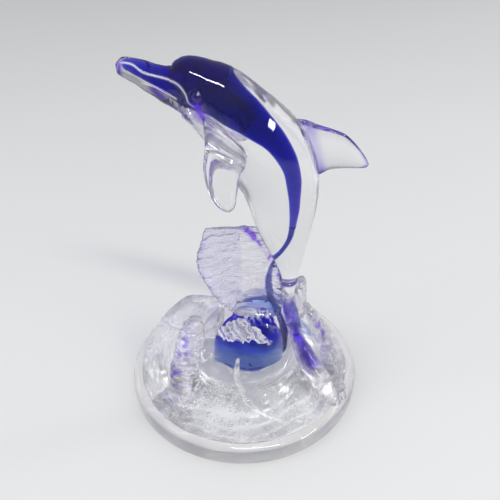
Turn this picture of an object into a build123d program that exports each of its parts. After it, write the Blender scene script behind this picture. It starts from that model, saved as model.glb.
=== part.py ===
from build123d import *
import os

# Glass figurine: a dolphin leaping over a breaking wave on a round foot.
# Millimetres, +Z up, origin at the centre of the foot's underside.
# The dolphin's spine lies in the plane Y = 0, its beak points to -X.
# Each gather of glass that was stuck on hot is a piece of its own. Where two pieces
# meet, one of them is cut to the other's surface, so that they touch face to face.

# ---- driving dimensions ----------------------------------------------------

foot_radius = 54.0
foot_top = 9.0
foot_rim_round = 4.2
foot_edge_round = 1.2

eye_center = (-13.6, 10.2, 149.9)
eye_radius = 1.7

body_flatness = 0.88        # body width across Y over its depth in the spine's plane
tail_joint_height = 58.5    # where the dolphin's body is stuck onto the tail stock

heart_center = (4.0, -4.0, 27.5)
heart_half_length = 16.5    # along X
heart_half_height = 15.0    # across it, in Y and Z alike

# The dolphin's clear casing, from beak to tail. Each station is
# (x, z, heading of the spine below the horizontal, half depth).
body_stations = [
    (-42.7, 159.2, 20, 0.7),
    (-42.0, 158.9, 20, 2.0),
    (-39.5, 158.0, 20, 3.5),
    (-34.0, 155.6, 22, 4.7),
    (-27.5, 152.4, 26, 5.6),
    (-22.5, 151.2, 30, 8.6),
    (-16.5, 149.9, 32, 11.3),
    (-9.0, 145.4, 38, 13.3),
    (-1.4, 138.0, 46, 14.9),
    (5.2, 130.4, 51, 16.3),
    (10.5, 123.8, 57, 17.2),
    (14.2, 116.0, 67, 16.7),
    (16.6, 108.0, 75, 15.6),
    (17.7, 100.0, 82, 14.2),
    (18.2, 90.0, 87, 12.1),
    (18.9, 83.0, 86, 10.3),
    (19.7, 76.0, 84, 8.0),
    (20.3, 69.0, 86, 6.0),
    (20.5, 63.0, 89, 4.3),
    (20.5, tail_joint_height, 90, 3.4),
]

# The cobalt core inside it. Each station is
# (x, z, heading below the horizontal, half depth, half width).
core_stations = [
    (-39.6, 158.9, 20, 0.9, 1.2),
    (-35.5, 157.4, 23, 1.6, 2.2),
    (-30.0, 154.9, 22, 2.2, 3.0),
    (-25.0, 153.1, 16, 3.3, 4.2),
    (-19.5, 152.2, 14, 5.3, 6.0),
    (-13.5, 150.2, 26, 6.6, 7.2),
    (-8.0, 147.2, 34, 6.7, 7.6),
    (-2.5, 142.4, 44, 5.5, 6.8),
    (4.7, 135.6, 48, 4.5, 5.8),
    (11.0, 129.3, 54, 3.5, 4.6),
    (16.4, 121.2, 64, 2.7, 3.7),
    (19.2, 111.5, 77, 2.2, 3.0),
    (20.4, 101.0, 87, 1.6, 2.4),
    (20.3, 91.0, 95, 1.3, 2.0),
]

# The thread of cobalt that is drawn out of the core, down into the wave.
ribbon_path = [
    (20.4, 0.0, 93.0),
    (19.2, 0.0, 84.0),
    (16.6, 0.0, 75.0),
    (13.0, -0.6, 68.0),
    (11.6, -1.4, 61.0),
    (12.0, -2.0, 53.5),
    (14.0, -2.6, 45.5),
    (16.2, -3.2, 37.0),
    (16.6, -3.6, 30.0),
]
ribbon_radii = [1.5, 1.2, 1.1, 1.1, 1.2, 1.3, 1.5, 2.0, 2.6]

# ---- shared shapes ---------------------------------------------------------


def spine_plane(x, z, heading, y=0.0):
    """The plane across a spine that runs from -X towards +X, dipping by heading."""
    along = Vector(1, 0, 0).rotate(Axis.Y, heading)
    return Plane(origin=(x, y, z), x_dir=(0, 1, 0), z_dir=along)


def lofted(sections):
    """A loft through ellipses, each given as (plane, half size along x, half size along y)."""
    with BuildPart() as shape:
        for plane, half_x, half_y in sections:
            with BuildSketch(plane):
                Ellipse(half_x, half_y)
        loft()
    return shape.part


def stacked(levels):
    """A loft through level ellipses, each (z, x, y, half length, half thickness, turn)."""
    return lofted(
        [
            (Plane(origin=(x, y, z)).rotated((0, 0, turn)), half_length, half_thickness)
            for z, x, y, half_length, half_thickness, turn in levels
        ]
    )


def upright(sections):
    """A loft along X through upright ellipses, each (x, y, z, half height, half thickness)."""
    return lofted(
        [
            (Plane(origin=(x, y, z), x_dir=(0, 1, 0), z_dir=(1, 0, 0)), thickness, height)
            for x, y, z, height, thickness in sections
        ]
    )


def rope(points, radii):
    """A round strand through the points, with its radius at each of them."""
    with BuildLine() as route:
        Spline(*points)
    edge = route.edges()[0]
    sections = []
    for index, radius in enumerate(radii):
        place = index / (len(radii) - 1)
        plane = Plane(origin=edge.position_at(place), z_dir=edge.tangent_at(place))
        sections.append((plane, radius, radius * 0.999))
    return lofted(sections)


def largest(shape):
    """The biggest solid of a shape, without the crumbs that a cut can leave."""
    return shape.solids().sort_by(SortBy.VOLUME)[-1]


def mirrored(shape):
    """The same shape on the other side of the dolphin."""
    return mirror(shape, about=Plane.XZ, mode=Mode.PRIVATE)


# ---- outer forms, before they are cut to one another -----------------------

body_form = lofted(
    [
        (spine_plane(x, z, heading), depth * body_flatness, depth)
        for x, z, heading, depth in body_stations
    ]
)
core_form = lofted(
    [
        (spine_plane(x, z, heading), width, depth)
        for x, z, heading, depth, width in core_stations
    ]
)
ribbon_form = rope(ribbon_path, ribbon_radii)

stock_form = stacked(
    [
        (34.0, 23.6, 0.0, 4.0, 7.0, 0),
        (40.0, 22.2, 0.0, 3.8, 6.2, 0),
        (46.0, 21.2, 0.0, 3.4, 5.0, 0),
        (52.0, 20.6, 0.0, 3.4, 4.0, 0),
        (tail_joint_height, 20.5, 0.0, 4.0, 4.2, 0),
    ]
)
fluke_form = stacked(
    [
        (foot_top - 1.0, 36.6, -13.2, 2.6, 2.0, -35),
        (14.0, 33.0, -11.6, 4.4, 2.9, -35),
        (22.0, 28.6, -9.0, 4.6, 3.2, -35),
        (30.0, 25.4, -6.4, 4.4, 3.4, -30),
        (38.0, 22.8, -4.4, 3.8, 3.2, -20),
        (44.0, 21.4, -3.0, 3.0, 2.6, 0),
    ]
)

mound_form = stacked(
    [
        (foot_top, 0.6, -0.6, 45.5, 45.0, 0),
        (10.8, 2.2, -2.2, 39.5, 38.0, 0),
        (13.2, 2.8, -3.0, 34.5, 33.0, 0),
        (18.0, 2.0, -3.4, 29.4, 27.6, 0),
        (27.0, 0.4, -3.6, 24.6, 22.5, 0),
        (36.0, 2.0, -3.2, 19.0, 18.0, 0),
        (44.0, 5.4, -2.6, 13.2, 12.0, 0),
        (50.0, 7.6, -2.0, 8.4, 7.0, 0),
    ]
)
tall_crest_form = stacked(
    [
        (40.0, 3.0, -2.0, 14.0, 6.8, 0),
        (47.0, 2.2, -2.0, 15.6, 6.2, 2),
        (54.0, 1.0, -2.0, 17.0, 5.4, 4),
        (62.0, -0.6, -2.0, 18.0, 4.8, 5),
        (70.0, -1.8, -2.0, 17.8, 4.4, 6),
        (78.0, -2.0, -1.6, 15.8, 3.8, 6),
        (84.0, -2.5, -1.2, 13.4, 3.0, 6),
        (88.0, -3.0, -1.0, 11.8, 1.8, 6),
    ]
)
left_crest_form = upright(
    [
        (-38.2, -1.0, 37.0, 1.2, 1.0),
        (-35.0, -1.0, 38.0, 5.0, 3.2),
        (-29.0, -1.0, 39.6, 9.0, 5.0),
        (-22.0, -1.0, 39.6, 11.6, 6.2),
        (-14.0, -1.0, 37.5, 12.4, 7.0),
        (-6.0, -1.0, 36.0, 12.0, 7.0),
    ]
)
left_ridge_form = stacked(
    [
        (foot_top, -26.0, -25.0, 8.8, 9.8, -20),
        (14.0, -27.6, -21.5, 7.0, 8.2, -20),
        (22.0, -27.4, -16.5, 6.0, 7.2, -20),
        (30.0, -25.6, -12.5, 5.4, 6.4, -20),
        (38.0, -23.2, -9.5, 4.6, 5.4, -20),
        (45.0, -21.6, -7.5, 2.6, 3.2, -20),
    ]
)
front_curl_form = upright(
    [
        (-12.4, -14.5, 42.8, 0.9, 0.8),
        (-8.0, -14.5, 44.0, 3.6, 2.6),
        (-3.0, -14.5, 45.6, 5.4, 3.6),
        (1.0, -14.5, 45.2, 5.6, 3.8),
        (5.0, -14.5, 43.8, 4.6, 3.4),
        (9.0, -14.5, 41.0, 3.4, 2.8),
        (12.8, -14.5, 36.8, 1.0, 0.9),
    ]
)
front_rib_form = rope(
    [
        (-2.3, -22.8, 32.5),
        (-2.9, -26.0, 27.3),
        (-1.6, -29.0, 21.8),
        (1.8, -32.6, 15.9),
        (7.8, -36.0, 12.0),
        (15.8, -39.0, 10.2),
        (26.0, -38.8, 9.6),
    ],
    [1.5, 1.8, 2.0, 2.0, 1.9, 1.6, 0.9],
)
right_fold_form = stacked(
    [
        (foot_top, 31.6, -15.5, 17.5, 7.0, -49),
        (14.0, 30.6, -13.6, 14.0, 6.2, -49),
        (20.0, 28.4, -10.8, 10.0, 5.2, -49),
        (27.0, 25.2, -7.4, 6.4, 4.0, -49),
        (33.0, 22.6, -5.0, 3.2, 2.2, -49),
    ]
)
right_crest_form = stacked(
    [
        (foot_top, 40.6, -8.5, 19.0, 5.0, -74),
        (14.0, 40.0, -6.0, 15.5, 4.4, -74),
        (20.0, 38.6, -3.4, 12.0, 4.0, -74),
        (28.0, 35.8, 0.0, 8.5, 3.6, -74),
        (35.0, 32.8, 2.2, 6.0, 3.0, -74),
        (41.0, 29.8, 3.6, 3.4, 1.8, -74),
    ]
)
back_crest_form = stacked(
    [
        (26.0, 23.0, 12.0, 9.0, 5.0, 35),
        (34.0, 23.5, 12.2, 8.4, 4.4, 35),
        (41.0, 24.5, 12.4, 7.0, 3.6, 35),
        (47.0, 26.0, 12.8, 5.0, 2.4, 35),
        (49.5, 26.6, 13.0, 3.4, 1.2, 35),
    ]
)

# ---- foot ------------------------------------------------------------------

with BuildPart() as foot:
    with BuildSketch():
        Circle(foot_radius)
    extrude(amount=foot_top)
    fillet(foot.faces().sort_by(Axis.Z)[-1].edges(), foot_rim_round)
    fillet(foot.faces().sort_by(Axis.Z)[0].edges(), foot_edge_round)

# ---- cobalt glass ----------------------------------------------------------

with BuildPart() as wave_heart:
    with BuildSketch(Plane(origin=heart_center, x_dir=(1, 0, 0), z_dir=(0, -1, 0))):
        Ellipse(heart_half_length, heart_half_height)
        Rectangle(
            2 * heart_half_length,
            heart_half_height,
            align=(Align.CENTER, Align.MAX),
            mode=Mode.SUBTRACT,
        )
    revolve(axis=Axis(heart_center, (1, 0, 0)))

with BuildPart() as dolphin_core:
    add(core_form)

with BuildPart() as core_ribbon:
    add(ribbon_form)
    add(core_form, mode=Mode.SUBTRACT)
    add(wave_heart.part, mode=Mode.SUBTRACT)

# ---- dolphin ---------------------------------------------------------------

with BuildPart() as dolphin_body:
    add(body_form)
    for side in (-1, 1):
        with Locations((eye_center[0], side * eye_center[1], eye_center[2])):
            Sphere(eye_radius)
    for core in (core_form, ribbon_form):
        add(core, mode=Mode.SUBTRACT)

with BuildPart() as dorsal_fin:
    for x, z, chord, thickness in [
        (25.0, 124.5, 14.0, 3.4),
        (33.0, 123.6, 10.4, 2.7),
        (40.5, 121.6, 7.4, 2.0),
        (46.5, 118.6, 4.0, 1.3),
        (50.4, 116.6, 0.9, 0.5),
    ]:
        with BuildSketch(spine_plane(x, z, 18)):
            Ellipse(thickness, chord)
    loft()
    add(body_form, mode=Mode.SUBTRACT)

with BuildPart() as pectoral_form:
    for x, y, z, chord, thickness, droop in [
        (-3.0, -8.0, 136.0, 8.6, 3.2, 10),
        (-4.0, -15.5, 134.0, 8.2, 3.0, 35),
        (-5.0, -20.5, 128.0, 7.4, 2.8, 62),
        (-6.4, -23.0, 120.0, 6.0, 2.4, 76),
        (-5.6, -24.4, 113.5, 4.0, 1.8, 82),
        (-4.0, -25.0, 109.5, 1.4, 0.8, 84),
    ]:
        outward = Vector(0, -1, 0).rotate(Axis.X, droop)
        with BuildSketch(Plane(origin=(x, y, z), x_dir=(0.87, 0, -0.5), z_dir=outward)):
            Ellipse(chord, thickness)
    loft()

with BuildPart() as pectoral_fin_left:
    add(pectoral_form.part)
    add(body_form, mode=Mode.SUBTRACT)

with BuildPart() as pectoral_fin_right:
    add(mirrored(pectoral_fin_left.part))

with BuildPart() as tail_stock:
    add(stock_form)

with BuildPart() as tail_fluke_left:
    add(fluke_form)
    for neighbour in [stock_form, foot.part]:
        add(neighbour, mode=Mode.SUBTRACT)

with BuildPart() as tail_fluke_right:
    add(mirrored(tail_fluke_left.part))

flukes = [fluke_form, mirrored(fluke_form)]

# ---- wave ------------------------------------------------------------------

with BuildPart() as wave_mound:
    add(mound_form)
    for neighbour in [wave_heart.part, ribbon_form, body_form, stock_form] + flukes:
        add(neighbour, mode=Mode.SUBTRACT)

with BuildPart() as wave_tall_crest:
    add(tall_crest_form)
    for neighbour in [mound_form, body_form, stock_form, ribbon_form]:
        add(neighbour, mode=Mode.SUBTRACT)

with BuildPart() as wave_left_crest:
    add(left_crest_form)
    for neighbour in [mound_form, tall_crest_form]:
        add(neighbour, mode=Mode.SUBTRACT)

with BuildPart() as wave_left_ridge:
    add(left_ridge_form)
    for neighbour in [mound_form, left_crest_form]:
        add(neighbour, mode=Mode.SUBTRACT)

with BuildPart() as wave_front_curl:
    add(front_curl_form)
    for neighbour in [mound_form, tall_crest_form]:
        add(neighbour, mode=Mode.SUBTRACT)

with BuildPart() as wave_front_rib:
    add(front_rib_form)
    for neighbour in [mound_form, foot.part]:
        add(neighbour, mode=Mode.SUBTRACT)

with BuildPart() as wave_right_fold:
    add(right_fold_form)
    for neighbour in [mound_form, stock_form] + flukes:
        add(neighbour, mode=Mode.SUBTRACT)

with BuildPart() as wave_right_crest:
    add(right_crest_form)
    for neighbour in [mound_form, stock_form, right_fold_form, back_crest_form] + flukes:
        add(neighbour, mode=Mode.SUBTRACT)

with BuildPart() as wave_back_crest:
    add(back_crest_form)
    for neighbour in [mound_form, body_form, stock_form] + flukes:
        add(neighbour, mode=Mode.SUBTRACT)

# ---- write the pieces ------------------------------------------------------

pieces = {
    "foot": foot,
    "wave_mound": wave_mound,
    "wave_heart": wave_heart,
    "wave_tall_crest": wave_tall_crest,
    "wave_left_crest": wave_left_crest,
    "wave_left_ridge": wave_left_ridge,
    "wave_front_curl": wave_front_curl,
    "wave_front_rib": wave_front_rib,
    "wave_right_fold": wave_right_fold,
    "wave_right_crest": wave_right_crest,
    "wave_back_crest": wave_back_crest,
    "dolphin_body": dolphin_body,
    "dolphin_core": dolphin_core,
    "core_ribbon": core_ribbon,
    "dorsal_fin": dorsal_fin,
    "pectoral_fin_left": pectoral_fin_left,
    "pectoral_fin_right": pectoral_fin_right,
    "tail_stock": tail_stock,
    "tail_fluke_left": tail_fluke_left,
    "tail_fluke_right": tail_fluke_right,
}

os.makedirs("parts", exist_ok=True)
for label, piece in pieces.items():
    solid = largest(piece.part)
    solid.label = label
    export_step(solid, f"parts/{label}.step")
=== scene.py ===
import math

import bmesh
import bpy
import numpy as np
from mathutils import Matrix, Vector, noise


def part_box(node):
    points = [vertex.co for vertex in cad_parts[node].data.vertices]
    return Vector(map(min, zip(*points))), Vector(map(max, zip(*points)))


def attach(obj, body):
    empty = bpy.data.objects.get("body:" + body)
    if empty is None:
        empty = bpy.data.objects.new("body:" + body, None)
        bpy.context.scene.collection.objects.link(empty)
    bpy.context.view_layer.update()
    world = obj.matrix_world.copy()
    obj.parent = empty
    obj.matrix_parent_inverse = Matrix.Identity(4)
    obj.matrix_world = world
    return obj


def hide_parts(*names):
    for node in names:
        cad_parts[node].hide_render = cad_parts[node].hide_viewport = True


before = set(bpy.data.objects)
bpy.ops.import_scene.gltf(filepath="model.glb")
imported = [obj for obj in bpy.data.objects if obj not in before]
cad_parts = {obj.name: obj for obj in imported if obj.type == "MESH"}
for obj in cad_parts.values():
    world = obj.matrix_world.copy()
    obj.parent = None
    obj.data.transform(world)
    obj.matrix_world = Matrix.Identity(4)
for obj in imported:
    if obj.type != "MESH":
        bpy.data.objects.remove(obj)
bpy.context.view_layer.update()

# Blender scene for the glass dolphin on its wave. Shapes are laid out in the
# part's millimetres and turned into metres by MM, which follows the foot's size.
# The dolphin's spine lies in the plane Y = 0, its beak points to -X.

FOOT_LOW, FOOT_HIGH = (np.array(corner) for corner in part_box("foot"))
FOOT_DIAMETER = 108.0
MM = (FOOT_HIGH[0] - FOOT_LOW[0]) / FOOT_DIAMETER
FOOT_RADIUS = FOOT_DIAMETER / 2
FOOT_TOP = FOOT_HIGH[2] / MM
FLOOR = -0.0001     # a hair below the foot, so that the two faces never coincide
SUNK = 0.8          # how deep one gather is sunk into the next, so that they read as fused
SIDEWAYS = np.array([0.0, 1.0, 0.0])
UPWARDS = np.array([0.0, 0.0, 1.0])


# ---- curves and meshes -----------------------------------------------------


def along(rows, count):
    """Rows of values joined by a smooth curve, read at count even steps of length."""
    rows = np.array(rows, float)
    gaps = np.linalg.norm(np.diff(rows[:, :3], axis=0), axis=1)
    knots = np.concatenate([[0.0], np.cumsum(gaps)])
    slopes = np.gradient(rows, knots, axis=0)
    places = np.linspace(0.0, knots[-1], count)
    cell = np.clip(np.searchsorted(knots, places, side="right") - 1, 0, len(knots) - 2)
    width = (knots[cell + 1] - knots[cell])[:, None]
    t = (places[:, None] - knots[cell][:, None]) / width
    low, high = rows[cell], rows[cell + 1]
    rise_low, rise_high = slopes[cell] * width, slopes[cell + 1] * width
    return (
        (2 * t**3 - 3 * t**2 + 1) * low
        + (t**3 - 2 * t**2 + t) * rise_low
        + (3 * t**2 - 2 * t**3) * high
        + (t**3 - t**2) * rise_high
    )


def turns(count):
    """count angles, evenly round a circle."""
    return np.linspace(0.0, 2 * math.pi, count, endpoint=False)


def skin(name, rings):
    """A closed mesh object through rings of points (rings, points, xyz), a pole at each end."""
    count, around, _ = rings.shape
    poles = [rings[0].mean(axis=0), rings[-1].mean(axis=0)]
    points = np.concatenate([rings.reshape(-1, 3), poles])
    here = np.arange(around)
    following = np.roll(here, -1)
    faces = []
    for row in range(count - 1):
        low, high = row * around, (row + 1) * around
        faces += np.stack([low + here, low + following, high + following, high + here], 1).tolist()
    start, end, last = count * around, count * around + 1, (count - 1) * around
    faces += [(start, b, a) for a, b in zip(here.tolist(), following.tolist())]
    faces += [(end, last + a, last + b) for a, b in zip(here.tolist(), following.tolist())]
    mesh = bpy.data.meshes.new(name)
    mesh.from_pydata((points * MM).tolist(), [], faces)
    work = bmesh.new()
    work.from_mesh(mesh)
    bmesh.ops.recalc_face_normals(work, faces=work.faces)
    work.to_mesh(mesh)
    work.free()
    mesh.shade_smooth()
    thing = bpy.data.objects.new(name, mesh)
    bpy.context.scene.collection.objects.link(thing)
    return thing


def superellipse(count, power):
    """Cosine and sine like factors round a superellipse: power 2 is an ellipse, less is a lens."""
    angles = turns(count)
    cosine, sine = np.cos(angles), np.sin(angles)
    rounded = 2.0 / power
    return np.sign(cosine) * np.abs(cosine) ** rounded, np.sign(sine) * np.abs(sine) ** rounded


def tube(name, stations, steps=120, around=48, side=SIDEWAYS):
    """A closed tube through stations of (x, y, z, half size in the bend, half size across it)."""
    rows = along(stations, steps)
    tangents = np.gradient(rows[:, :3], axis=0)
    tangents /= np.linalg.norm(tangents, axis=1)[:, None]
    cosine, sine = superellipse(around, 2.0)
    rings = []
    for row, tangent in zip(rows, tangents):
        back = np.cross(side, tangent)
        back /= np.linalg.norm(back)
        flank = np.cross(tangent, back)
        rings.append(row[:3] - np.outer(cosine * row[3], back) + np.outer(sine * row[4], flank))
    return skin(name, np.array(rings))


def blade(name, lead, trail, thick, steps=90, around=72, power=1.7):
    """A closed blade between two edge curves, thick being its half thicknesses along them."""
    front, rear = along(lead, steps), along(trail, steps)
    half_thick = np.interp(np.linspace(0, 1, steps), np.linspace(0, 1, len(thick)), thick)
    middle, half_chord = (front + rear) / 2, (front - rear) / 2
    cosine, _ = superellipse(around, 2.0)
    _, sine = superellipse(around, power)
    forward = np.gradient(middle, axis=0)
    rings = []
    for place in range(steps):
        face = np.cross(half_chord[place], forward[place])
        face /= np.linalg.norm(face)
        ring = middle[place] + np.outer(cosine, half_chord[place])
        rings.append(ring + np.outer(sine * half_thick[place], face))
    return skin(name, np.array(rings))


def stack(name, levels, steps=90, around=128, power=2.0):
    """A closed form through level ellipses (x, y, z, half length, half depth, turn in degrees)."""
    rows = along(levels, steps)
    cosine, sine = superellipse(around, power)
    rings = []
    for x, y, z, length, depth, turn in rows:
        angle = math.radians(turn)
        one = np.array([math.cos(angle), math.sin(angle), 0.0])
        other = np.array([-math.sin(angle), math.cos(angle), 0.0])
        middle = np.array([x, y, z])
        rings.append(middle + np.outer(cosine * length, one) + np.outer(sine * depth, other))
    return skin(name, np.array(rings))


def push(thing, amount):
    """Moves each point of a mesh along its normal by amount(points, normals), in millimetres."""
    mesh = thing.data
    count = len(mesh.vertices)
    points = np.empty(count * 3)
    normals = np.empty(count * 3)
    mesh.vertices.foreach_get("co", points)
    mesh.vertex_normals.foreach_get("vector", normals)
    points, normals = points.reshape(-1, 3) / MM, normals.reshape(-1, 3)
    points = points + normals * amount(points, normals)[:, None]
    mesh.vertices.foreach_set("co", (points * MM).ravel())
    mesh.update()


def places(thing):
    """The points of a mesh, in millimetres."""
    points = np.empty(len(thing.data.vertices) * 3)
    thing.data.vertices.foreach_get("co", points)
    return points.reshape(-1, 3) / MM


def paint(thing, name, amount):
    """Stores amount(points), between 0 and 1, on a mesh for its material to read."""
    layer = thing.data.attributes.new(name, "FLOAT", "POINT")
    layer.data.foreach_set("value", np.clip(amount(places(thing)), 0, 1).astype(np.float32))


def specks(path, reach, seed):
    """Broken flecks along a path, for paint."""
    def amount(points):
        broken = np.clip(4.0 * cloudy(points, 2.2, seed) + 0.1, 0, 1)
        return near(distance_to_path(points, path), reach) * broken
    return amount


def band(path, reach, strength=1.0):
    """An unbroken band along a path, for paint."""
    return lambda points: strength * near(distance_to_path(points, path), reach)


def cloudy(points, size, seed=0.0):
    """Smooth noise between about -1 and 1 at each point, with lumps of the given size."""
    return np.array([noise.noise(Vector(p / size) + Vector((seed, seed, seed))) for p in points])


def near(distance, reach):
    """1 at no distance, a third at the reach and next to nothing at twice the reach."""
    return np.exp(-((distance / reach) ** 2))


def distance_to_path(points, path):
    """Each point's distance from a chain of straight lines, given in the same axes."""
    best = np.full(len(points), 1e9)
    for start, end in zip(path[:-1], path[1:]):
        start, end = np.array(start, float), np.array(end, float)
        run = end - start
        share = np.clip(((points - start) @ run) / (run @ run), 0.0, 1.0)
        gap = np.linalg.norm(points - start - share[:, None] * run, axis=1)
        best = np.minimum(best, gap)
    return best


def mirrored(thing, name):
    """A copy of a piece on the other side of the dolphin."""
    mesh = thing.data.copy()
    mesh.name = name
    count = len(mesh.vertices)
    points = np.empty(count * 3)
    mesh.vertices.foreach_get("co", points)
    points = points.reshape(-1, 3) * (1.0, -1.0, 1.0)
    mesh.vertices.foreach_set("co", points.ravel())
    mesh.flip_normals()
    copy = bpy.data.objects.new(name, mesh)
    bpy.context.scene.collection.objects.link(copy)
    return copy


def finished(thing, material, slot_name, *nodes):
    """Gives a piece its material, and its place among the frame's nodes."""
    thing.data.materials.clear()
    thing.data.materials.append(material)
    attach(thing, "root")
    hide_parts(*nodes)


# ---- materials -------------------------------------------------------------

WHITENING_DULLS = 0.4   # roughness that full frost and full painted light add
BOUNCES = 40        # enough to leave the casing, the core and the foot again


def shader(name):
    """A new node material: the material, its tree, its Principled shader and its output."""
    material = bpy.data.materials.new(name)
    material.use_nodes = True
    tree = material.node_tree
    principled = next(n for n in tree.nodes if n.type == "BSDF_PRINCIPLED")
    output = next(n for n in tree.nodes if n.type == "OUTPUT_MATERIAL")
    return material, tree, principled, output


def tinted(tree, principled, base):
    """The base colour, drawn towards violet, azure and cobalt where those are painted."""
    source = None
    for name, colour in [
        ("violet", (0.14, 0.03, 0.85, 1.0)),
        ("azure", (0.05, 0.18, 0.78, 1.0)),
        ("cobalt", (0.012, 0.0, 0.42, 1.0)),
    ]:
        painted = tree.nodes.new("ShaderNodeAttribute")
        painted.attribute_name = name
        mix = tree.nodes.new("ShaderNodeMix")
        mix.data_type = "RGBA"
        mix.inputs["A"].default_value = base
        mix.inputs["B"].default_value = colour
        if source:
            tree.links.new(source, mix.inputs["A"])
        tree.links.new(painted.outputs["Fac"], mix.inputs["Factor"])
        source = mix.outputs["Result"]
    tree.links.new(source, principled.inputs["Base Color"])


def noise_field(tree, scale, detail=3.0):
    """A noise texture over the object's own coordinates."""
    place = tree.nodes.new("ShaderNodeTexCoord")
    field = tree.nodes.new("ShaderNodeTexNoise")
    field.inputs["Scale"].default_value = scale
    field.inputs["Detail"].default_value = detail
    tree.links.new(place.outputs["Object"], field.inputs["Vector"])
    return field


def ranged(tree, source, low, high):
    """A value between low and high that follows a noise output."""
    span = tree.nodes.new("ShaderNodeMapRange")
    span.inputs["From Min"].default_value = 0.3
    span.inputs["From Max"].default_value = 0.7
    span.inputs["To Min"].default_value = low
    span.inputs["To Max"].default_value = high
    tree.links.new(source, span.inputs["Value"])
    return span.outputs["Result"]


def bumped(tree, principled, source, strength, distance):
    """A bump on the shader from a height output."""
    bump = tree.nodes.new("ShaderNodeBump")
    bump.inputs["Strength"].default_value = strength
    bump.inputs["Distance"].default_value = distance
    tree.links.new(source, bump.inputs["Height"])
    tree.links.new(bump.outputs["Normal"], principled.inputs["Normal"])


def lets_light_by(tree, principled, output, tint):
    """Shadow rays pass the glass with a tint, as a bright caustic would."""
    paths = tree.nodes.new("ShaderNodeLightPath")
    clear = tree.nodes.new("ShaderNodeBsdfTransparent")
    clear.inputs["Color"].default_value = tint
    mix = tree.nodes.new("ShaderNodeMixShader")
    tree.links.new(paths.outputs["Is Shadow Ray"], mix.inputs["Fac"])
    tree.links.new(principled.outputs["BSDF"], mix.inputs[1])
    tree.links.new(clear.outputs["BSDF"], mix.inputs[2])
    tree.links.new(mix.outputs["Shader"], output.inputs["Surface"])


def veiled(tree, principled, wear, clearest, veil):
    """Where frost is painted the glass is duller, whiter and lets less light straight through; the same
    attribute also carries painted highlight and painted light on the head, the core and the pectoral fin.
    """
    frost_and_painted_light = tree.nodes.new("ShaderNodeAttribute")
    frost_and_painted_light.attribute_name = "frost_and_painted_light"
    dull = tree.nodes.new("ShaderNodeMath")
    dull.operation = "MULTIPLY_ADD"
    tree.links.new(frost_and_painted_light.outputs["Fac"], dull.inputs[0])
    dull.inputs[1].default_value = WHITENING_DULLS
    tree.links.new(wear, dull.inputs[2])
    tree.links.new(dull.outputs["Value"], principled.inputs["Roughness"])
    through = tree.nodes.new("ShaderNodeMath")
    through.operation = "MULTIPLY_ADD"
    tree.links.new(frost_and_painted_light.outputs["Fac"], through.inputs[0])
    through.inputs[1].default_value = -veil
    through.inputs[2].default_value = clearest
    tree.links.new(through.outputs["Value"], principled.inputs["Transmission Weight"])


def clear_glass():
    """Smooth clear crystal."""
    material, tree, principled, output = shader("clear_crystal")
    tinted(tree, principled, (0.995, 0.99, 1.0, 1.0))
    principled.inputs["IOR"].default_value = 1.52
    wear = noise_field(tree, 60.0)
    veiled(tree, principled, ranged(tree, wear.outputs["Fac"], 0.0, 0.03), 1.0, 0.6)
    flow = noise_field(tree, 45.0, detail=1.0)
    bumped(tree, principled, flow.outputs["Fac"], 0.05, 0.0005)
    lets_light_by(tree, principled, output, (0.985, 0.985, 0.99, 1.0))
    return material


def cobalt_glass(name, colour, density):
    """Cobalt inside clear glass: it bends light little and absorbs it by depth."""
    material, tree, principled, output = shader(name)
    tinted(tree, principled, (1.0, 1.0, 1.0, 1.0))
    principled.inputs["IOR"].default_value = 1.03
    wear = noise_field(tree, 90.0)
    veiled(tree, principled, ranged(tree, wear.outputs["Fac"], 0.0, 0.05), 1.0, 0.07)
    absorb = tree.nodes.new("ShaderNodeVolumeAbsorption")
    absorb.inputs["Color"].default_value = colour
    absorb.inputs["Density"].default_value = density
    tree.links.new(absorb.outputs["Volume"], output.inputs["Volume"])
    lets_light_by(tree, principled, output, (1.0, 1.0, 1.0, 1.0))
    return material


def chilled_glass():
    """Rippled glass; the more frost is painted on it, the duller and whiter it is."""
    material, tree, principled, output = shader("chilled_crystal")
    tinted(tree, principled, (0.96, 0.95, 0.99, 1.0))
    principled.inputs["IOR"].default_value = 1.5
    wear = noise_field(tree, 150.0)
    veiled(tree, principled, ranged(tree, wear.outputs["Fac"], 0.0, 0.1), 0.97, 0.4)
    grain = noise_field(tree, 600.0, detail=4.0)
    bumped(tree, principled, grain.outputs["Fac"], 0.2, 0.0004)
    lets_light_by(tree, principled, output, (0.98, 0.98, 0.99, 1.0))
    return material


# ---- the foot --------------------------------------------------------------


def from_axis(points):
    """Each point's distance from the foot's axis."""
    return np.hypot(points[:, 0], points[:, 1])


def round_swell(points):
    """Each point's angle round the middle of the swell."""
    return np.arctan2(points[:, 1] + 3.0, points[:, 0] - 3.5)


def streaks(points):
    """The pattern of flowing glass round the foot, between 0 and 1."""
    wander = 2.4 * cloudy(points, 14.0, 3.0)
    return 1.0 - np.abs(np.sin(from_axis(points) * 0.75 + 1.5 * round_swell(points) + wander))


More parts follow.
